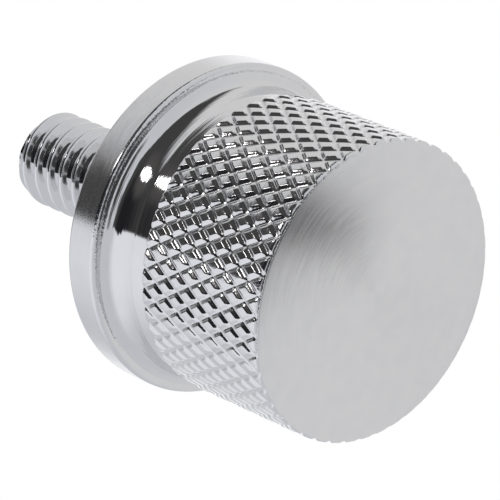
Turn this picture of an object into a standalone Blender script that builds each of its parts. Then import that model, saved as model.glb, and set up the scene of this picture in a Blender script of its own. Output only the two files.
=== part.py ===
"""Knurled thumb screw: a turned head with a flange, and the threaded stud fixed in its back.

Units are metres. The screw's axis lies along world Y: the stud points to +Y and the flat face
of the head to -Y. The origin is the centre of the flange's seating face. Both pieces are
modelled around their own Z axis, stud end up, and turned to lie along Y.
"""
import math

import bmesh
import bpy

MM = 0.001

# Flange and neck of the head
FLANGE_RADIUS = 10.6 * MM
FLANGE_THICKNESS = 2.3 * MM
FLANGE_ROUND = 0.2 * MM
LAND_INNER_RADIUS = 9.9 * MM
NECK_RADIUS = 9.2 * MM
NECK_START = 4.4 * MM

# Diamond-knurled grip, from the neck to the flat face
HEAD_LENGTH = 15.7 * MM
KNURL_START = 5.8 * MM
CREST_RADIUS = 9.5 * MM
GROOVE_RADIUS = 9.06 * MM
EDGE_CHAMFER = 0.15 * MM
DIAMONDS_AROUND = 48
DIAMOND_ROWS = 10
COLUMN_ANGLE = math.pi / DIAMONDS_AROUND
ROW_STEP = (HEAD_LENGTH - EDGE_CHAMFER - KNURL_START) / DIAMOND_ROWS

# Blind bore that holds the stud, with a countersunk mouth in the seating face
BORE_RADIUS = 3.0 * MM
BORE_DEPTH = 8.0 * MM
MOUTH_RADIUS = 3.6 * MM
MOUTH_DEPTH = 0.6 * MM
FIT_GAP = 0.3 * MM

# Stud with a right-hand 1/4-20 thread
STUD_LENGTH = 15.24 * MM
PITCH = 1.27 * MM
MAJOR_RADIUS = 3.14 * MM
THREAD_DEPTH = 0.61343 * PITCH
MINOR_RADIUS = MAJOR_RADIUS - THREAD_DEPTH
CREST_FLAT = PITCH / 8
FLANK_ANGLE = math.radians(30)
TIP_RADIUS = 2.84 * MM
START_RADIUS = 3.0 * MM
SPIGOT_OVERLAP = 0.2 * MM
STEPS_PER_TURN = 24
SPIGOT_STEPS = 36

ROUND_STEPS = 2
COVE_STEPS = 6
SHARP_ANGLE = math.radians(25)
CHROME_COLOR = (0.79, 0.79, 0.81, 1.0)


def clear_scene():
    """Start from an empty scene."""
    for item in list(bpy.data.objects):
        bpy.data.objects.remove(item, do_unlink=True)


def add_collection(name):
    """Make a collection in the scene."""
    collection = bpy.data.collections.new(name)
    bpy.context.scene.collection.children.link(collection)
    return collection


def chrome(name, roughness):
    """Polished chrome plate."""
    material = bpy.data.materials.new(name)
    material.use_nodes = True
    shader = material.node_tree.nodes["Principled BSDF"]
    shader.inputs["Base Color"].default_value = CHROME_COLOR
    shader.inputs["Metallic"].default_value = 1.0
    shader.inputs["Roughness"].default_value = roughness
    return material


def arc(centre, radius, first, last, steps):
    """Points (r, z) of an arc about a centre, from one angle to another, both in radians."""
    points = []
    for i in range(steps + 1):
        angle = first + (last - first) * i / steps
        points.append((centre[0] + radius * math.cos(angle), centre[1] + radius * math.sin(angle)))
    return points


def turned_object(name, profile, steps, collection, rise=0.0, turns=1):
    """An object whose Screw modifier turns an (r, z) profile about Z."""
    mesh = bpy.data.meshes.new(name)
    edges = [(i, i + 1) for i in range(len(profile) - 1)]
    mesh.from_pydata([(r, 0.0, z) for r, z in profile], edges, [])
    item = bpy.data.objects.new(name, mesh)
    collection.objects.link(item)
    screw = item.modifiers.new("turn", "SCREW")
    screw.axis = "Z"
    screw.angle = 2 * math.pi
    screw.screw_offset = rise
    screw.iterations = turns
    screw.steps = steps
    screw.render_steps = steps
    screw.use_merge_vertices = rise == 0.0
    screw.merge_threshold = 1e-6
    screw.use_smooth_shade = False
    return item


def apply_modifiers(item):
    """Replace an object's mesh with its evaluated one, and drop the modifiers."""
    graph = bpy.context.evaluated_depsgraph_get()
    graph.update()
    mesh = bpy.data.meshes.new_from_object(item.evaluated_get(graph))
    item.modifiers.clear()
    item.data = mesh


def boolean(item, other, operation):
    """Cut or join an object with another one, at once."""
    modifier = item.modifiers.new(operation.lower(), "BOOLEAN")
    modifier.operation = operation
    modifier.solver = "EXACT"
    modifier.object = other
    apply_modifiers(item)


def lay_along_y(item):
    """Lay a piece that is modelled around Z along world Y."""
    item.rotation_euler = (-math.pi / 2, 0.0, 0.0)


def finish(item, material):
    """Give a piece its material, smooth shading and place."""
    item.data.materials.clear()
    item.data.materials.append(material)
    item.data.shade_smooth()
    item.data.set_sharp_from_angle(angle=SHARP_ANGLE)
    lay_along_y(item)


def head_profile():
    """Outline of the turned head, from the floor of its bore round to the middle of its face."""
    outline = [(0.0, -BORE_DEPTH), (BORE_RADIUS, -BORE_DEPTH)]
    outline += [(BORE_RADIUS, -MOUTH_DEPTH), (MOUTH_RADIUS, 0.0)]
    corner = FLANGE_RADIUS - FLANGE_ROUND
    quarter = math.pi / 2
    outline += arc((corner, -FLANGE_ROUND), FLANGE_ROUND, quarter, 0.0, ROUND_STEPS)
    outline += arc((corner, FLANGE_ROUND - FLANGE_THICKNESS), FLANGE_ROUND, 0.0, -quarter, ROUND_STEPS)
    outline += cove_points()
    outline.append((NECK_RADIUS, -KNURL_START))
    for row in range(DIAMOND_ROWS + 1):
        outline.append((CREST_RADIUS, -KNURL_START - row * ROW_STEP))
    outline += [(CREST_RADIUS - EDGE_CHAMFER, -HEAD_LENGTH), (0.0, -HEAD_LENGTH)]
    return outline


def cove_points():
    """The concave sweep from the flange's land to the neck, which it meets without a step."""
    drop = LAND_INNER_RADIUS - NECK_RADIUS
    run = NECK_START - FLANGE_THICKNESS
    radius = (drop * drop + run * run) / (2 * drop)
    spread = math.asin(run / radius)
    centre = (NECK_RADIUS + radius, -NECK_START)
    return arc(centre, radius, math.pi - spread, math.pi, COVE_STEPS)


def press_knurl(mesh):
    """Sink every second crossing of the turned grip, which leaves a pyramid between the grooves."""
    shape = bmesh.new()
    shape.from_mesh(mesh)
    sunk = set()
    for vert in shape.verts:
        radius = math.hypot(vert.co.x, vert.co.y)
        depth = -vert.co.z - KNURL_START
        if depth < -ROW_STEP / 10 or radius < (NECK_RADIUS + CREST_RADIUS - EDGE_CHAMFER) / 2:
            continue
        row = min(round(depth / ROW_STEP), DIAMOND_ROWS)
        column = round(math.atan2(vert.co.y, vert.co.x) / COLUMN_ANGLE)
        if (row + column) % 2:
            vert.co.x *= GROOVE_RADIUS / radius
            vert.co.y *= GROOVE_RADIUS / radius
            sunk.add(vert)
    for face in list(shape.faces):
        low = [vert for vert in face.verts if vert in sunk]
        if len(face.verts) == 4 and len(low) == 2 and not shape.edges.get(low):
            bmesh.utils.face_split(face, low[0], low[1])
    shape.to_mesh(mesh)
    shape.free()


def knurled_head(collection, material):
    """Flange, cove, neck and diamond-knurled grip, turned from one bar, with a blind bore."""
    item = turned_object("knurled_head", head_profile(), 2 * DIAMONDS_AROUND, collection)
    apply_modifiers(item)
    press_knurl(item.data)
    finish(item, material)


def thread_blank(collection):
    """An endless thread: one pitch of its section, swept up a helix past both ends of the stud."""
    flank = THREAD_DEPTH * math.tan(FLANK_ANGLE)
    section = [
        (MINOR_RADIUS, PITCH),
        (MINOR_RADIUS, 2 * flank + CREST_FLAT),
        (MAJOR_RADIUS, flank + CREST_FLAT),
        (MAJOR_RADIUS, flank),
        (MINOR_RADIUS, 0.0),
    ]
    section = [(r, z - 2 * PITCH) for r, z in section]
    turns = math.ceil(STUD_LENGTH / PITCH) + 3
    item = turned_object("threaded_stud", section, STEPS_PER_TURN, collection,
                         rise=PITCH, turns=turns)
    apply_modifiers(item)
    return item


def trim_thread(mesh):
    """Cut the thread square at both ends, close it, and turn down its start and its tip."""
    start_slope = FIT_GAP + MAJOR_RADIUS - START_RADIUS
    tip_slope = STUD_LENGTH - (MAJOR_RADIUS - TIP_RADIUS)
    shape = bmesh.new()
    shape.from_mesh(mesh)
    bmesh.ops.remove_doubles(shape, verts=shape.verts[:], dist=1e-6)
    for height, lower, upper in (
        (FIT_GAP, True, False),
        (start_slope, False, False),
        (tip_slope, False, False),
        (STUD_LENGTH, False, True),
    ):
        parts = shape.verts[:] + shape.edges[:] + shape.faces[:]
        bmesh.ops.bisect_plane(shape, geom=parts, plane_co=(0, 0, height), plane_no=(0, 0, 1),
                               dist=1e-6, clear_inner=lower, clear_outer=upper)
    for vert in shape.verts:
        radius = math.hypot(vert.co.x, vert.co.y)
        limit = min(START_RADIUS + vert.co.z - FIT_GAP, TIP_RADIUS + STUD_LENGTH - vert.co.z)
        if radius > limit:
            vert.co.x *= limit / radius
            vert.co.y *= limit / radius
    rims = [edge for edge in shape.edges if edge.is_boundary]
    bmesh.ops.holes_fill(shape, edges=rims, sides=0)
    bmesh.ops.recalc_face_normals(shape, faces=shape.faces[:])
    shape.to_mesh(mesh)
    shape.free()


def threaded_stud(collection, cutters, material):
    """Stud with a plain spigot in the head's bore and a 1/4-20 thread outside it."""
    item = thread_blank(collection)
    trim_thread(item.data)
    radius = BORE_RADIUS - FIT_GAP
    top = FIT_GAP + SPIGOT_OVERLAP
    bottom = FIT_GAP - BORE_DEPTH
    outline = [(0.0, top), (radius, top), (radius, bottom), (0.0, bottom)]
    spigot = turned_object("spigot", outline, SPIGOT_STEPS, cutters)
    boolean(item, spigot, "UNION")
    spigot.hide_render = True
    spigot.display_type = "WIRE"
    lay_along_y(spigot)
    finish(item, material)


def build():
    """Build the whole screw."""
    clear_scene()
    pieces = add_collection("knurled_thumb_screw")
    cutters = add_collection("cutters")
    knurled_head(pieces, chrome("head_chrome", 0.08))
    threaded_stud(pieces, cutters, chrome("stud_chrome", 0.12))


build()
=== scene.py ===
"""Knurled thumb screw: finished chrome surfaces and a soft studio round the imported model.

Lengths are metres in the model's own frame: the screw's axis lies along world Y, the flat face of
the head looks to -Y and the tip of the stud points to +Y. The origin is the centre of the flange's
seating face. A place on a turned surface is given by its radius, its y, and its angle about the
axis, which starts at +Z and grows towards +X.
"""
import math

import bmesh
import bpy
import numpy as np
from mathutils import Matrix, Vector


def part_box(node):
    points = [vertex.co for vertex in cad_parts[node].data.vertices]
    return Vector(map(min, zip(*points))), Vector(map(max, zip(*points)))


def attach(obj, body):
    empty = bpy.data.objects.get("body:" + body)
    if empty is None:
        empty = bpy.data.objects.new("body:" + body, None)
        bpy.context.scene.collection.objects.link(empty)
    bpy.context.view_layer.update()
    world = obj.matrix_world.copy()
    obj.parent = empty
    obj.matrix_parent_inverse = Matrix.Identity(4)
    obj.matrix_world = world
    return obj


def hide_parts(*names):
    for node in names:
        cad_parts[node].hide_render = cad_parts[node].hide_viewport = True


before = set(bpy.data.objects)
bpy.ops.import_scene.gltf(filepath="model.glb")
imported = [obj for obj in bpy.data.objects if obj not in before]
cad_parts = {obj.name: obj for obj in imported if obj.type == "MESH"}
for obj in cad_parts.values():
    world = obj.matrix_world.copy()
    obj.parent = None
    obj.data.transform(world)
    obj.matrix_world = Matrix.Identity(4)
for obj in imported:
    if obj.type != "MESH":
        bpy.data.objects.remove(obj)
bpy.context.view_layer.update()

MM = 0.001

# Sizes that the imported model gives
FLANGE_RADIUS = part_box("knurled_head")[1].x
HEAD_LENGTH = -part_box("knurled_head")[0].y
STUD_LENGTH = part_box("threaded_stud")[1].y

# Flange, cove and neck. The cove's lean is the angle of its surface from the axis, in degrees, at
# shares of its length from the land to the neck.
SEAT_ROUND = 0.2 * MM
RIM_FRONT_ROUND = 0.45 * MM
RIM_FRONT_DROP = 0.33 * MM
FLANGE_THICKNESS = 2.38 * MM
LAND_INNER_RADIUS = 9.98 * MM
LAND_LIP = 0.08 * MM
NECK_RADIUS = 9.2 * MM
NECK_START = 4.43 * MM
NECK_TAPER = math.radians(7)
COVE_LEAN = [(0, 53), (0.14, 48), (0.26, 32), (0.36, 17), (0.72, 5), (1, 0)]
COVE_STEPS = 24

# Knurl: two crossing sets of slanting grooves that leave a lattice of flat-topped pyramids. A
# groove's knots give its height over its floor at distances from its middle, in millimetres.
PYRAMIDS_AROUND = 48
PYRAMID_PHASE = math.radians(-1.05)
ROW_STEP = 0.972 * MM
TOP_ROW = 12.58 * MM
KNURL_START = 5.78 * MM
KNURL_START_ROUND = 0.1 * MM
GROOVE_KNOTS = [(0, 0), (0.035, 0.005), (0.14, 0.079), (0.24, 0.15), (0.286, 0.172), (0.33, 0.177)]
GROOVE_DEPTH = GROOVE_KNOTS[-1][1] * MM
RIDGE_SOFTNESS = 0.045 * MM
CREST_RADIUS_REAR = 9.52 * MM
CREST_RADIUS_FRONT = 9.42 * MM
FACE_EDGE_ROUND = 0.26 * MM
PITCH_ACROSS = 2 * math.pi * CREST_RADIUS_REAR / PYRAMIDS_AROUND
GROOVE_SPACING = PITCH_ACROSS * 2 * ROW_STEP / math.hypot(PITCH_ACROSS, 2 * ROW_STEP)

# Rings of the mesh: the steps that round off the knurl's two ends, in degrees, and shares of the
# radius at which rings fill the face and the other flat ends
KNURL_START_ARC = (0, 30, 60)
FACE_EDGE_ARC = (25, 50, 70, 90)
FACE_EDGE_RINGS = (0.98, 0.96)
FACE_RINGS = (0.9, 0.6, 0.3)
END_RING = 0.6

# Bore and stud
BORE_RADIUS = 3.2 * MM
BORE_DEPTH = 8.0 * MM
MOUTH_RADIUS = 3.6 * MM
MOUTH_DEPTH = 0.4 * MM
PITCH = 1.27 * MM
MAJOR_RADIUS = 3.13 * MM
ROOT_RADIUS = 2.42 * MM
CREST_FLAT = 0.16 * MM
FLANK_ANGLE = math.radians(30)
THREAD_SOFTNESS = 0.07 * MM
THREAD_CREST_AT = 14.28 * MM
THREAD_PHASE = math.radians(58.5)
THREAD_RUN_IN = -1.2 * MM
SPIGOT_RADIUS = 2.7 * MM
SPIGOT_END = -7.7 * MM
TIP_CHAMFER = 0.35 * MM
TIP_RADIUS = 2.55 * MM
STEPS_PER_PITCH = 18

# Mesh: points around, the angle in degrees from which an edge stays sharp, and how far a point may
# stray from a surface and still count as on it
AROUND_PLAIN = 240
AROUND_STUD = 120
HEAD_SHARP_FROM = 55
STUD_SHARP_FROM = 50
HAIR = 0.001 * MM
RIM_HAIR = 0.01 * MM

# Camera
CAMERA_TARGET = Vector((1.81, -2.53, -1.75)) * MM
CAMERA_DISTANCE = 202 * MM
CAMERA_AZIMUTH = math.radians(-41.3)
CAMERA_ELEVATION = math.radians(22.0)
CAMERA_LENS = 233.3

# Chrome
CHROME_DARK = (0.78, 0.78, 0.795, 1)
CHROME_LIGHT = (0.8, 0.8, 0.805, 1)
PATCHES_PER_METRE = 900

# Studio. A direction is its angle about the screw's axis, then its angle from the +Y end, in degrees.
ROOM = 1.2
FLOOR_HEIGHT = -0.0108
WALL_LIGHT = (0.62, 0.635, 0.67, 1)

# Pale panels, each laid over the ones before it: the direction of its middle, the angles within
# which it is whole and past which it is gone, and its light
PANELS = [
    ((60, 60), 20, 100, (0.72, 0.72, 0.72, 1)),
    ((-108, 76), 5, 60, (0.87, 0.88, 0.92, 1)),
    ((115, 46), 5, 45, (1.05, 1.05, 1.07, 1)),
    ((121, 118), 25, 60, (0.725, 0.725, 0.73, 1)),
    ((0, 0), 8, 32, (0.42, 0.42, 0.43, 1)),
]

# The dark part of the studio. DARK_LEFT gives the angle about the axis at which it starts, at angles
# from the +Y end. The other lines give angles from the +Y end at angles about the axis: DARK_TOP is
# where it starts, and between CARD_TOP and CARD_BOTTOM a pale card hides it.
DARK_LEFT = [
    (0, -91.5), (43, -91.5), (47, -88), (67, -85.5), (84, -89), (100, -87), (130, -87), (155, -102),
    (168, -180),
]
DARK_TOP = [
    (-180, 24), (-60, 29), (-45, 38), (-36, 44), (-28, 48), (-20, 50), (0, 53), (10, 56), (20, 60),
    (50, 73), (54, 140), (66, 152), (90, 158), (101, 157), (105, 149), (109, 139), (112, 136),
    (115, 143), (118, 150), (121, 157), (150, 158), (180, 154),
]
CARD_TOP = [
    (-180, 136), (-70, 136), (-38, 128), (-20, 106), (0, 90), (10, 83), (20, 76), (50, 71), (180, 71),
]
CARD_BOTTOM = [
    (-180, 151), (-40, 149), (-12, 149), (5, 155), (36, 160), (54, 150), (57, 90), (180, 90),
]
DARK_LEFT_FADE = 0.7
DARK_TOP_FADE = 5.5
CARD_FADE = 2.5

# Small dark areas round the +Y end, which the stud's flanks show by way of the flange's seating face
DARK_BEHIND = [((-52, 20.5), 7, 10), ((-10, 23), 5, 8), ((-100, 22), 5, 8)]

# Lamp: its direction, its width and height in degrees, its distance and how bright it looks
LAMP_MIDDLE = (-45.4, 67)
LAMP_WIDTH = 9.5
LAMP_HEIGHT = 21
LAMP_DISTANCE = 0.5
LAMP_RADIANCE = 4
LAMP_COLOR = (1, 0.985, 0.97)

# How dark it is: in general, and then round its deepest place and round the lamp
DARK_PLAIN = (0.057, 0.057, 0.057, 1)
DARK_DEPTHS = [
    ((-80, 85), 8, 45, (0.016, 0.016, 0.018, 1)),
    (LAMP_MIDDLE, 8, 20, (0.085, 0.078, 0.077, 1)),
]


# ---------------------------------------------------------------- shapes


def soft_min(a, b, blend):
    """The lower of two heights, rounded off over a blend."""
    return (a + b - np.sqrt((a - b) ** 2 + blend ** 2)) / 2


def soft_max(a, b, blend):
    """The higher of two heights, rounded off over a blend."""
    return (a + b + np.sqrt((a - b) ** 2 + blend ** 2)) / 2


def even_angles(around):
    """Angles of points evenly spaced about the axis, from half a turn below zero."""
    return np.arange(around) * 2 * np.pi / around - np.pi


def ring(radius, y, angle):
    """A ring of points about the axis at given angles; radius and y may differ from point to point."""
    radius = np.broadcast_to(radius, len(angle))
    y = np.broadcast_to(y, len(angle))
    return np.stack([radius * np.sin(angle), y, radius * np.cos(angle)], axis=1)


def arc_outline(radius, y, size, first, last, steps):
    """Points (radius, y) of an arc of a given size about a centre; 0 faces outwards, 90 to +Y."""
    turn = np.radians(np.linspace(first, last, steps + 1))
    return [(radius + size * math.cos(t), y + size * math.sin(t)) for t in turn]


def bridge(first, second, start_first, start_second):
    """Faces between two rings of points, each in order of angle; they may differ in number."""
    if len(first) == len(second):
        count = len(first)
        pairs = [(i, (i + 1) % count) for i in range(count)]
        return [(start_first + i, start_first + j, start_second + j, start_second + i) for i, j in pairs]
    turn_first, turn_second = opened_angles(first), opened_angles(second)
    faces = []
    i = j = 0
    while i < len(first) or j < len(second):
        at_first, at_second = start_first + i % len(first), start_second + j % len(second)
        if j == len(second) or (i < len(first) and turn_first[i + 1] <= turn_second[j + 1]):
            faces.append((at_first, start_first + (i + 1) % len(first), at_second))
            i += 1
        else:
            faces.append((at_first, start_second + (j + 1) % len(second), at_second))
            j += 1
    return faces


def opened_angles(points):
    """Angles of a ring's points about the axis, rising, with the first one again a full turn on."""
    angle = np.unwrap(np.arctan2(points[:, 0], points[:, 2]))
    return np.append(angle, angle[0] + 2 * np.pi)


def ring_faces(rings, start):
    """Faces that bridge rings in turn, whose points are numbered from a start."""
    faces = []
    for first, second in zip(rings, rings[1:]):
        faces += bridge(first, second, start, start + len(first))
        start += len(first)
    return faces


def strip(first, second):
    """Faces between two closed rows of as many points."""
    count = len(first)
    return [(first[i], first[(i + 1) % count], second[(i + 1) % count], second[i]) for i in range(count)]


def fan(points, start, pole):
    """Triangles from a ring to a point on the axis."""
    return [(pole, start + i, start + (i + 1) % len(points)) for i in range(len(points))]


def object_from_rings(name, rings):
    """A closed object with rings bridged in turn, and a point at the middle of each end."""
    points = np.concatenate(rings)
    faces = ring_faces(rings, 0)
    faces += fan(rings[0], 0, len(points))
    faces += fan(rings[-1], len(points) - len(rings[-1]), len(points) + 1)
    poles = np.array([[0.0, rings[0][:, 1].mean(), 0.0], [0.0, rings[-1][:, 1].mean(), 0.0]])
    return closed_object(name, np.concatenate([points, poles]), faces)


def closed_object(name, points, faces):
    """An object whose faces all point out."""
    mesh = bpy.data.meshes.new(name)
    mesh.from_pydata(points.tolist(), [], [tuple(map(int, f)) for f in faces])
    shape = bmesh.new()
    shape.from_mesh(mesh)
    bmesh.ops.recalc_face_normals(shape, faces=shape.faces)
    shape.to_mesh(mesh)
    shape.free()
    item = bpy.data.objects.new(name, mesh)
    bpy.context.scene.collection.objects.link(item)
    return item


def groove_profile(turns):
    """Height over a groove's floor at a place in turns of the lattice; pyramids are at whole turns."""
    out = (0.5 - np.abs(turns - np.round(turns))) * GROOVE_SPACING
    return np.interp(out, *np.array(GROOVE_KNOTS).T * MM)


def knurl_radius(angle, y):
    """Radius of the knurled grip, before its ends are rounded off."""
    across = (angle - PYRAMID_PHASE) * PYRAMIDS_AROUND / (2 * np.pi)
    along = (-y - TOP_ROW) / (2 * ROW_STEP)
    share = (-y - KNURL_START) / (HEAD_LENGTH - KNURL_START)
    crest = CREST_RADIUS_REAR + (CREST_RADIUS_FRONT - CREST_RADIUS_REAR) * share
    height = soft_min(groove_profile(across + along), groove_profile(across - along), RIDGE_SOFTNESS)
    return crest - GROOVE_DEPTH + RIDGE_SOFTNESS / 2 + height


def knurl_grid():
    """The knurled skin as a mesh whose edges follow the grooves, cut off square at both ends.

    Returns its points, its faces, and its rear and front rims as lists of point numbers in order
    of angle.
    """
    half = [out * MM / GROOVE_SPACING for out, _ in GROOVE_KNOTS]
    knots = [h - 0.5 for h in half] + [0.5 - h for h in half[:0:-1]]
    per_turn = len(knots)
    around = per_turn * PYRAMIDS_AROUND

    def place(i):
        return i // per_turn + knots[i % per_turn]

    rear = (KNURL_START - TOP_ROW) / (2 * ROW_STEP)
    front = (HEAD_LENGTH - FACE_EDGE_ROUND - TOP_ROW) / (2 * ROW_STEP)
    number = {}
    points = []
    faces = []

    def corner(i, j):
        turn = i // around
        key = (i - turn * around, j - turn * around)
        if key not in number:
            number[key] = len(points)
            first, second = place(key[0]), place(key[1])
            angle = (first + second) * math.pi / PYRAMIDS_AROUND + PYRAMID_PHASE
            points.append((angle, -TOP_ROW - (first - second) * ROW_STEP))
        return number[key]

    for i in range(around):
        first_j = int((place(i) - 2 * front) * per_turn) - 2 * per_turn
        last_j = int((place(i) - 2 * rear) * per_turn) + 2 * per_turn
        for j in range(first_j, last_j):
            span = (place(i) - place(j + 1), place(i + 1) - place(j))
            if span[1] > 2 * rear and span[0] < 2 * front:
                faces.append((corner(i, j), corner(i + 1, j), corner(i + 1, j + 1), corner(i, j + 1)))
    angle, y = np.array(points).T
    skin = bmesh.new()
    for point in ring(knurl_radius(angle, y), y, angle):
        skin.verts.new(point)
    skin.verts.ensure_lookup_table()
    for face in faces:
        skin.faces.new([skin.verts[k] for k in face])
    for cut, side in ((-KNURL_START, 1), (-HEAD_LENGTH + FACE_EDGE_ROUND, -1)):
        whole = skin.verts[:] + skin.edges[:] + skin.faces[:]
        bmesh.ops.bisect_plane(
            skin, geom=whole, dist=1e-7, plane_co=(0, cut, 0), plane_no=(0, side, 0), clear_outer=True
        )
    skin.verts.index_update()
    coords = np.array([v.co[:] for v in skin.verts])
    rims = []
    for cut in (-KNURL_START, -HEAD_LENGTH + FACE_EDGE_ROUND):
        rim = np.array([v.index for v in skin.verts if v.is_boundary and abs(v.co.y - cut) < 1e-6])
        rims.append(rim[np.argsort(np.arctan2(coords[rim, 0], coords[rim, 2]))])
    faces = [tuple(v.index for v in f.verts) for f in skin.faces]
    skin.free()
    return coords, faces, rims


def hold_straights(outline, reach=0.03 * MM):
    """Extra points near both ends of each long stretch, so that smooth shading leaves it straight."""
    held = [outline[0]]
    for a, b in zip(outline, outline[1:]):
        length = math.dist(a, b)
        if length > 4 * reach:
            for share in (reach / length, 1 - reach / length):
                held.append((a[0] + (b[0] - a[0]) * share, a[1] + (b[1] - a[1]) * share))
        held.append(b)
    return held


def plain_outline():
    """Outline (radius, y) of the head from the floor of its bore to the end of its neck."""
    corner = FLANGE_RADIUS - SEAT_ROUND
    outline = [(BORE_RADIUS * END_RING, -BORE_DEPTH), (BORE_RADIUS, -BORE_DEPTH)]
    outline += [(BORE_RADIUS, -MOUTH_DEPTH), (MOUTH_RADIUS, 0.0)]
    outline += arc_outline(corner, -SEAT_ROUND, SEAT_ROUND, 90, 0, 4)
    for t in np.radians(np.linspace(0, 90, 9)):
        radius = FLANGE_RADIUS - RIM_FRONT_ROUND * (1 - math.cos(t))
        outline.append((radius, -FLANGE_THICKNESS + RIM_FRONT_DROP * (1 - math.sin(t))))
    outline += cove_outline()
    taper = KNURL_START - KNURL_START_ROUND - NECK_START
    outline.append((NECK_RADIUS - taper * math.tan(NECK_TAPER), -NECK_START - taper))
    return hold_straights(outline)


def cove_outline():
    """The lip of the land and the concave sweep from it down to the neck."""
    lip = arc_outline(LAND_INNER_RADIUS + LAND_LIP, -FLANGE_THICKNESS - LAND_LIP, LAND_LIP, 90, 150, 3)
    share = (np.arange(COVE_STEPS) + 0.5) / COVE_STEPS
    lean = np.radians(np.interp(share, *np.transpose(COVE_LEAN)))
    drop = np.cumsum(np.sin(lean)) / np.sum(np.sin(lean))
    run = np.cumsum(np.cos(lean)) / np.sum(np.cos(lean))
    radius = lip[-1][0] + (NECK_RADIUS - lip[-1][0]) * drop
    y = lip[-1][1] + (-NECK_START - lip[-1][1]) * run
    return lip + list(zip(radius, y))


def make_head():
    """Flange, cove, neck and knurled grip as one closed turned piece."""
    plain = even_angles(AROUND_PLAIN)
    rear_rings = [ring(r, y, plain) for r, y in plain_outline()]
    points, faces, (rear_rim, front_rim) = knurl_grid()
    rear_angle = opened_angles(points[rear_rim])[:-1]
    rear_crest = np.hypot(points[rear_rim, 0], points[rear_rim, 2])
    for t in np.radians(KNURL_START_ARC):
        limit = CREST_RADIUS_REAR - KNURL_START_ROUND * (1 - math.sin(t))
        y = -KNURL_START + KNURL_START_ROUND * math.cos(t)
        rear_rings.append(ring(np.minimum(rear_crest, limit), y, rear_angle))
    front_angle = opened_angles(points[front_rim])[:-1]
    front_rings = []
    for t in np.radians(FACE_EDGE_ARC):
        limit = CREST_RADIUS_FRONT - FACE_EDGE_ROUND * (1 - math.cos(t))
        y = -HEAD_LENGTH + FACE_EDGE_ROUND * (1 - math.sin(t))
        radius = np.minimum(knurl_radius(front_angle, y), limit)
        front_rings.append(ring(radius, y, front_angle))
    for share in FACE_EDGE_RINGS:
        front_rings.append(ring(radius * share, -HEAD_LENGTH, front_angle))
    for share in FACE_RINGS:
        front_rings.append(ring(CREST_RADIUS_FRONT * share, -HEAD_LENGTH, plain))
    rear_points = np.concatenate(rear_rings)
    front_points = np.concatenate(front_rings)
    rear_start, front_start = len(points), len(points) + len(rear_points)
    faces += ring_faces(rear_rings, rear_start) + ring_faces(front_rings, front_start)
    last_rear = rear_start + len(rear_points) - len(rear_rim)
    faces += strip(np.arange(last_rear, last_rear + len(rear_rim)), rear_rim)
    faces += strip(front_rim, np.arange(front_start, front_start + len(front_rim)))
    pole = front_start + len(front_points)
    faces += fan(rear_rings[0], rear_start, pole)
    faces += fan(front_rings[-1], pole - AROUND_PLAIN, pole + 1)
    poles = np.array([[0.0, -BORE_DEPTH, 0.0], [0.0, -HEAD_LENGTH, 0.0]])
    everything = np.concatenate([points, rear_points, front_points, poles])
    return closed_object("thumb_screw_head", everything, faces)


def thread_radius(angle, y):
    """Radius of the rolled right-hand thread, with rounded crests and roots."""
    turns = (y - THREAD_CREST_AT) / PITCH - (angle + THREAD_PHASE) / (2 * np.pi)
    from_crest = np.abs(turns - np.round(turns)) * PITCH
    flank = MAJOR_RADIUS - (from_crest - CREST_FLAT / 2) / math.tan(FLANK_ANGLE)
    crested = soft_min(flank, MAJOR_RADIUS, THREAD_SOFTNESS)
    return soft_max(crested, ROOT_RADIUS, THREAD_SOFTNESS)


def make_stud():
    """The stud, with a plain spigot in the head's bore and a thread from the bore's mouth out."""
    angle = even_angles(AROUND_STUD)
    rings = [ring(SPIGOT_RADIUS * END_RING, SPIGOT_END, angle), ring(SPIGOT_RADIUS, SPIGOT_END, angle)]
    count = round((STUD_LENGTH - THREAD_RUN_IN) / PITCH * STEPS_PER_PITCH)
    for y in np.linspace(THREAD_RUN_IN, STUD_LENGTH, count + 1):
        run_in = SPIGOT_RADIUS + (y - THREAD_RUN_IN)
        tip = TIP_RADIUS + (STUD_LENGTH - y) * (MAJOR_RADIUS - TIP_RADIUS) / TIP_CHAMFER
        radius = np.minimum(thread_radius(angle, y), np.minimum(run_in, tip))
        rings.append(ring(radius, y, angle))
    rings.append(ring(ROOT_RADIUS * END_RING, STUD_LENGTH, angle))
    return object_from_rings("thumb_screw_stud", rings)


def shade(item, sharp_from):
    """Smooth shading, apart from edges that are sharper than an angle."""
    item.data.shade_smooth()
    item.data.set_sharp_from_angle(angle=math.radians(sharp_from))


# ---------------------------------------------------------------- materials


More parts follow.
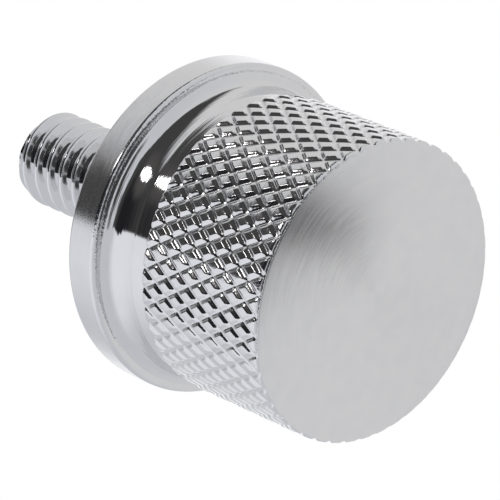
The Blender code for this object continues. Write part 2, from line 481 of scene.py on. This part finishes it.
class Tree:
    """Short calls for the nodes of one node tree."""

    def __init__(self, tree):
        self.tree = tree

    def node(self, kind, **settings):
        item = self.tree.nodes.new(kind)
        for key, value in settings.items():
            setattr(item, key, value)
        return item

    def put(self, value, socket):
        """Join an output to a socket, or set the socket to a plain value."""
        if isinstance(value, bpy.types.NodeSocket):
            self.tree.links.new(value, socket)
        else:
            socket.default_value = value

    def math(self, operation, a, b=0.0):
        item = self.node("ShaderNodeMath", operation=operation)
        self.put(a, item.inputs[0])
        self.put(b, item.inputs[1])
        return item.outputs[0]

    def off_axis(self, x, z):
        """Square of the distance from the screw's axis."""
        return self.math("ADD", self.math("MULTIPLY", x, x), self.math("MULTIPLY", z, z))

    def dot(self, vector, other):
        item = self.node("ShaderNodeVectorMath", operation="DOT_PRODUCT")
        self.put(vector, item.inputs[0])
        self.put(other, item.inputs[1])
        return item.outputs["Value"]

    def parts(self, vector):
        item = self.node("ShaderNodeSeparateXYZ")
        self.put(vector, item.inputs[0])
        return item.outputs

    def ramp(self, value, low, high, first=0.0, last=1.0, course="SMOOTHSTEP"):
        """A step from first to last as a value goes from low to high, smooth or of another course."""
        item = self.node("ShaderNodeMapRange", interpolation_type=course)
        for number, wanted in enumerate((value, low, high, first, last)):
            self.put(wanted, item.inputs[number])
        return item.outputs["Result"]

    def mix(self, share, a, b):
        item = self.node("ShaderNodeMix", data_type="RGBA")
        self.put(share, item.inputs[0])
        self.put(a, item.inputs[6])
        self.put(b, item.inputs[7])
        return item.outputs[2]


def turned_marks(tree, fineness, spread):
    """A noise drawn out round the screw's axis, like the marks that turning leaves, and its seat."""
    place = tree.node("ShaderNodeTexCoord").outputs["Object"]
    x, y, z = tree.parts(place)
    radius = tree.math("MAXIMUM", tree.math("SQRT", tree.off_axis(x, z)), 1e-5)
    drawn_out = tree.node("ShaderNodeCombineXYZ")
    tree.put(tree.math("MULTIPLY", radius, fineness), drawn_out.inputs[0])
    tree.put(tree.math("MULTIPLY", y, fineness), drawn_out.inputs[1])
    tree.put(tree.math("MULTIPLY", tree.math("DIVIDE", x, radius), spread), drawn_out.inputs[2])
    noise = tree.node("ShaderNodeTexNoise", noise_dimensions="4D")
    tree.put(drawn_out.outputs[0], noise.inputs["Vector"])
    tree.put(tree.math("MULTIPLY", tree.math("DIVIDE", z, radius), spread), noise.inputs["W"])
    noise.inputs["Scale"].default_value = 1
    noise.inputs["Detail"].default_value = 3
    return noise.outputs[0], place


def grain(tree, place, scale, detail=2.0):
    """An even noise over the surface."""
    noise = tree.node("ShaderNodeTexNoise")
    tree.put(place, noise.inputs["Vector"])
    noise.inputs["Scale"].default_value = scale
    noise.inputs["Detail"].default_value = detail
    return noise.outputs[0]


def chrome_plate(name, roughness, marks, speckle, aniso=0.0, fall=0.0):
    """Chrome plate over a turned surface.

    Roughness is a (low, high) pair. Marks are the fineness (per metre), spread and depth of the
    turning marks; speckle is the fineness and depth of an even grain. With aniso the surface
    scatters light across the turning marks. With a fall (per metre) an end face shades like a very
    shallow dome.
    """
    material = bpy.data.materials.new(name)
    material.use_nodes = True
    tree = Tree(material.node_tree)
    shader = material.node_tree.nodes["Principled BSDF"]
    shader.inputs["Metallic"].default_value = 1
    turned, place = turned_marks(tree, marks[0], marks[1])
    patches = grain(tree, place, PATCHES_PER_METRE)
    color = tree.mix(tree.ramp(patches, 0.3, 0.7), CHROME_DARK, CHROME_LIGHT)
    tree.put(color, shader.inputs["Base Color"])
    tree.put(tree.ramp(turned, 0.3, 0.7, *roughness), shader.inputs["Roughness"])
    fine = tree.node("ShaderNodeBump")
    fine.inputs["Strength"].default_value = 1
    fine.inputs["Distance"].default_value = speckle[1]
    tree.put(grain(tree, place, speckle[0], 3.0), fine.inputs["Height"])
    lines = tree.node("ShaderNodeBump")
    lines.inputs["Strength"].default_value = 1
    lines.inputs["Distance"].default_value = marks[2]
    tree.put(turned, lines.inputs["Height"])
    tree.put(fine.outputs[0], lines.inputs["Normal"])
    if fall:
        x, _, z = tree.parts(place)
        dome = tree.node("ShaderNodeBump")
        dome.inputs["Strength"].default_value = 1
        dome.inputs["Distance"].default_value = 1
        tree.put(tree.math("MULTIPLY", tree.off_axis(x, z), -fall / 2), dome.inputs["Height"])
        tree.put(dome.outputs[0], fine.inputs["Normal"])
    tree.put(lines.outputs[0], shader.inputs["Normal"])
    if aniso:
        shader.inputs["Anisotropic"].default_value = aniso
        shader.inputs["Anisotropic Rotation"].default_value = 0.25
        tangent = tree.node("ShaderNodeTangent", direction_type="RADIAL", axis="Y")
        tree.put(tangent.outputs[0], shader.inputs["Tangent"])
    return material


def head_plates():
    """The five finishes of the head, by the surface that each is for."""
    return {
        "turned": chrome_plate(
            "turned_bright", roughness=(0.03, 0.07), marks=(5000, 2.5, 12e-6), speckle=(3000, 0.6e-6)
        ),
        "knurl": chrome_plate(
            "knurl_bright", roughness=(0.08, 0.15), marks=(7000, 5, 5e-6), speckle=(6000, 6e-6)
        ),
        "rim": chrome_plate(
            "rim_satin", roughness=(0.16, 0.22), marks=(9000, 9, 2e-6), speckle=(16000, 2.5e-6), aniso=0.6
        ),
        "face": chrome_plate(
            "face_satin", roughness=(0.19, 0.24), marks=(6000, 3, 3e-6), speckle=(9000, 0.6e-6),
            aniso=0.6, fall=20.0,
        ),
        "edge": chrome_plate(
            "edge_bright", roughness=(0.05, 0.1), marks=(6000, 30, 1.6e-5), speckle=(6000, 1.4e-5)
        ),
    }


def head_surface(middle, normal):
    """The surface that a face of the head's mesh is part of; land and face's rounding are both edge."""
    radius = math.hypot(middle.x, middle.z)
    if middle.y < -HEAD_LENGTH + HAIR:
        return "face"
    if middle.y < -HEAD_LENGTH + FACE_EDGE_ROUND:
        return "edge"
    if middle.y < -KNURL_START:
        return "knurl"
    if radius > FLANGE_RADIUS - RIM_HAIR and normal.y ** 2 < 0.05:
        return "rim"
    if radius > LAND_INNER_RADIUS and middle.y < -SEAT_ROUND:
        return "edge"
    return "turned"


def dress_head(item):
    """Each surface of the head in its own finish: bright, satin, or pitted on land and face's edge."""
    plates = head_plates()
    for plate in plates.values():
        item.data.materials.append(plate)
    slots = {surface: number for number, surface in enumerate(plates)}
    for side in item.data.polygons:
        side.material_index = slots[head_surface(side.center, side.normal)]


# ---------------------------------------------------------------- stage


def make_camera():
    """The camera at the viewing angle of a catalogue picture."""
    data = bpy.data.cameras.new("camera")
    data.lens = CAMERA_LENS
    data.sensor_width = 36
    data.clip_start = 0.01
    data.clip_end = 10
    camera = bpy.data.objects.new("camera", data)
    bpy.context.scene.collection.objects.link(camera)
    level = math.cos(CAMERA_ELEVATION)
    back = Vector((
        math.sin(CAMERA_AZIMUTH) * level,
        -math.cos(CAMERA_AZIMUTH) * level,
        math.sin(CAMERA_ELEVATION),
    ))
    camera.location = CAMERA_TARGET + back * CAMERA_DISTANCE
    camera.rotation_mode = "QUATERNION"
    camera.rotation_quaternion = (-back).to_track_quat("-Z", "Y")
    bpy.context.scene.camera = camera


def direction(angle, from_tip):
    """Unit vector at an angle about the screw's axis and at an angle from the +Y end, in degrees."""
    turn, lean = math.radians(angle), math.radians(from_tip)
    return Vector((math.sin(lean) * math.sin(turn), math.cos(lean), math.sin(lean) * math.cos(turn)))


def glow(tree, ray, towards, inner, outer):
    """1 within an inner angle of a direction, fading to 0 at an outer one."""
    return tree.ramp(
        tree.dot(ray, direction(*towards)),
        math.cos(math.radians(outer)),
        math.cos(math.radians(inner)),
    )


def edge_curve(tree, along, points, low, high):
    """The angle that a line through points has at a place along it, all in degrees.

    The places run from low to high; the angles lie between -180 and 180.
    """
    item = tree.node("ShaderNodeFloatCurve")
    curve = item.mapping.curves[0]
    places = [((a - low) / (high - low), p / 360 + 0.5) for a, p in points]
    places.append((1.0, places[-1][1]))
    curve.points[0].location = places[0]
    curve.points[1].location = places[-1]
    for place in places[1:-1]:
        curve.points.new(*place)
    for point in curve.points:
        point.handle_type = "VECTOR"
    item.mapping.update()
    tree.put(tree.ramp(along, low, high, course="LINEAR"), item.inputs["Value"])
    return tree.ramp(item.outputs[0], 0.0, 1.0, -180.0, 180.0, course="LINEAR")


def dark_share(tree, ray, angle, from_tip):
    """1 where the studio is dark and 0 where it is pale."""
    beyond_left = tree.math("SUBTRACT", angle, edge_curve(tree, from_tip, DARK_LEFT, 0, 180))
    below_top = tree.math("SUBTRACT", from_tip, edge_curve(tree, angle, DARK_TOP, -180, 180))
    in_card = tree.math("SUBTRACT", from_tip, edge_curve(tree, angle, CARD_TOP, -180, 180))
    above_end = tree.math("SUBTRACT", edge_curve(tree, angle, CARD_BOTTOM, -180, 180), from_tip)
    dark = tree.math(
        "MULTIPLY",
        tree.ramp(beyond_left, -DARK_LEFT_FADE, DARK_LEFT_FADE),
        tree.ramp(below_top, -DARK_TOP_FADE, DARK_TOP_FADE),
    )
    card = tree.math(
        "MULTIPLY",
        tree.ramp(in_card, -CARD_FADE, CARD_FADE),
        tree.ramp(above_end, -CARD_FADE, CARD_FADE),
    )
    dark = tree.math("MULTIPLY", dark, tree.math("SUBTRACT", 1.0, card))
    for towards, inner, outer in DARK_BEHIND:
        dark = tree.math("MAXIMUM", dark, glow(tree, ray, towards, inner, outer))
    return dark


def make_world():
    """A pale room that is open to the dark on its upper left."""
    world = bpy.data.worlds.new("studio")
    world.use_nodes = True
    tree = Tree(world.node_tree)
    ray = tree.node("ShaderNodeTexCoord").outputs["Generated"]
    x, y, z = tree.parts(ray)
    angle = tree.math("DEGREES", tree.math("ARCTAN2", x, z))
    from_tip = tree.math("DEGREES", tree.math("ARCCOSINE", y))
    light = WALL_LIGHT
    for towards, inner, outer, panel in PANELS:
        light = tree.mix(glow(tree, ray, towards, inner, outer), light, panel)
    gloom = DARK_PLAIN
    for towards, inner, outer, depth in DARK_DEPTHS:
        gloom = tree.mix(glow(tree, ray, towards, inner, outer), gloom, depth)
    sky = tree.mix(dark_share(tree, ray, angle, from_tip), light, gloom)
    tree.put(sky, world.node_tree.nodes["Background"].inputs["Color"])
    bpy.context.scene.world = world


def make_lamp():
    """An oval lamp that faces the screw and shows only in what it lights and in reflections."""
    data = bpy.data.lights.new("lamp", "AREA")
    data.shape = "ELLIPSE"
    data.size = 2 * LAMP_DISTANCE * math.tan(math.radians(LAMP_WIDTH / 2))
    data.size_y = 2 * LAMP_DISTANCE * math.tan(math.radians(LAMP_HEIGHT / 2))
    data.energy = LAMP_RADIANCE * math.pi * data.size * data.size_y * math.pi / 4
    data.color = LAMP_COLOR
    lamp = bpy.data.objects.new("lamp", data)
    bpy.context.scene.collection.objects.link(lamp)
    away = direction(*LAMP_MIDDLE)
    lamp.location = away * LAMP_DISTANCE
    side = away.cross(Vector((0, 1, 0))).normalized()
    lamp.rotation_mode = "QUATERNION"
    lamp.rotation_quaternion = Matrix((side, away.cross(side), away)).transposed().to_quaternion()
    lamp.visible_camera = False


def make_backdrop():
    """A plain white floor and surround, which only the camera sees."""
    material = bpy.data.materials.new("backdrop")
    material.use_nodes = True
    tree = Tree(material.node_tree)
    shine = tree.node("ShaderNodeEmission")
    shine.inputs["Color"].default_value = (1, 1, 1, 1)
    tree.put(shine.outputs[0], material.node_tree.nodes["Material Output"].inputs["Surface"])
    bpy.ops.mesh.primitive_plane_add(size=2 * ROOM, location=(0, 0, FLOOR_HEIGHT))
    floor = bpy.context.object
    floor.name = "floor"
    bpy.ops.mesh.primitive_uv_sphere_add(segments=64, ring_count=32, radius=ROOM)
    surround = bpy.context.object
    surround.name = "surround"
    for item in (floor, surround):
        item.data.materials.append(material)
        item.visible_glossy = False
        item.visible_diffuse = False
        item.visible_shadow = False
        item.visible_transmission = False


head = make_head()
shade(head, HEAD_SHARP_FROM)
dress_head(head)
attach(head, "root")
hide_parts("knurled_head")

stud = make_stud()
shade(stud, STUD_SHARP_FROM)
stud_plate = chrome_plate(
    "stud_bright", roughness=(0.03, 0.08), marks=(6000, 3, 3e-6), speckle=(4000, 2e-6)
)
stud.data.materials.append(stud_plate)
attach(stud, "root")
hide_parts("threaded_stud")

make_camera()
make_world()
make_lamp()
make_backdrop()
bpy.context.scene.view_settings.view_transform = "Standard"
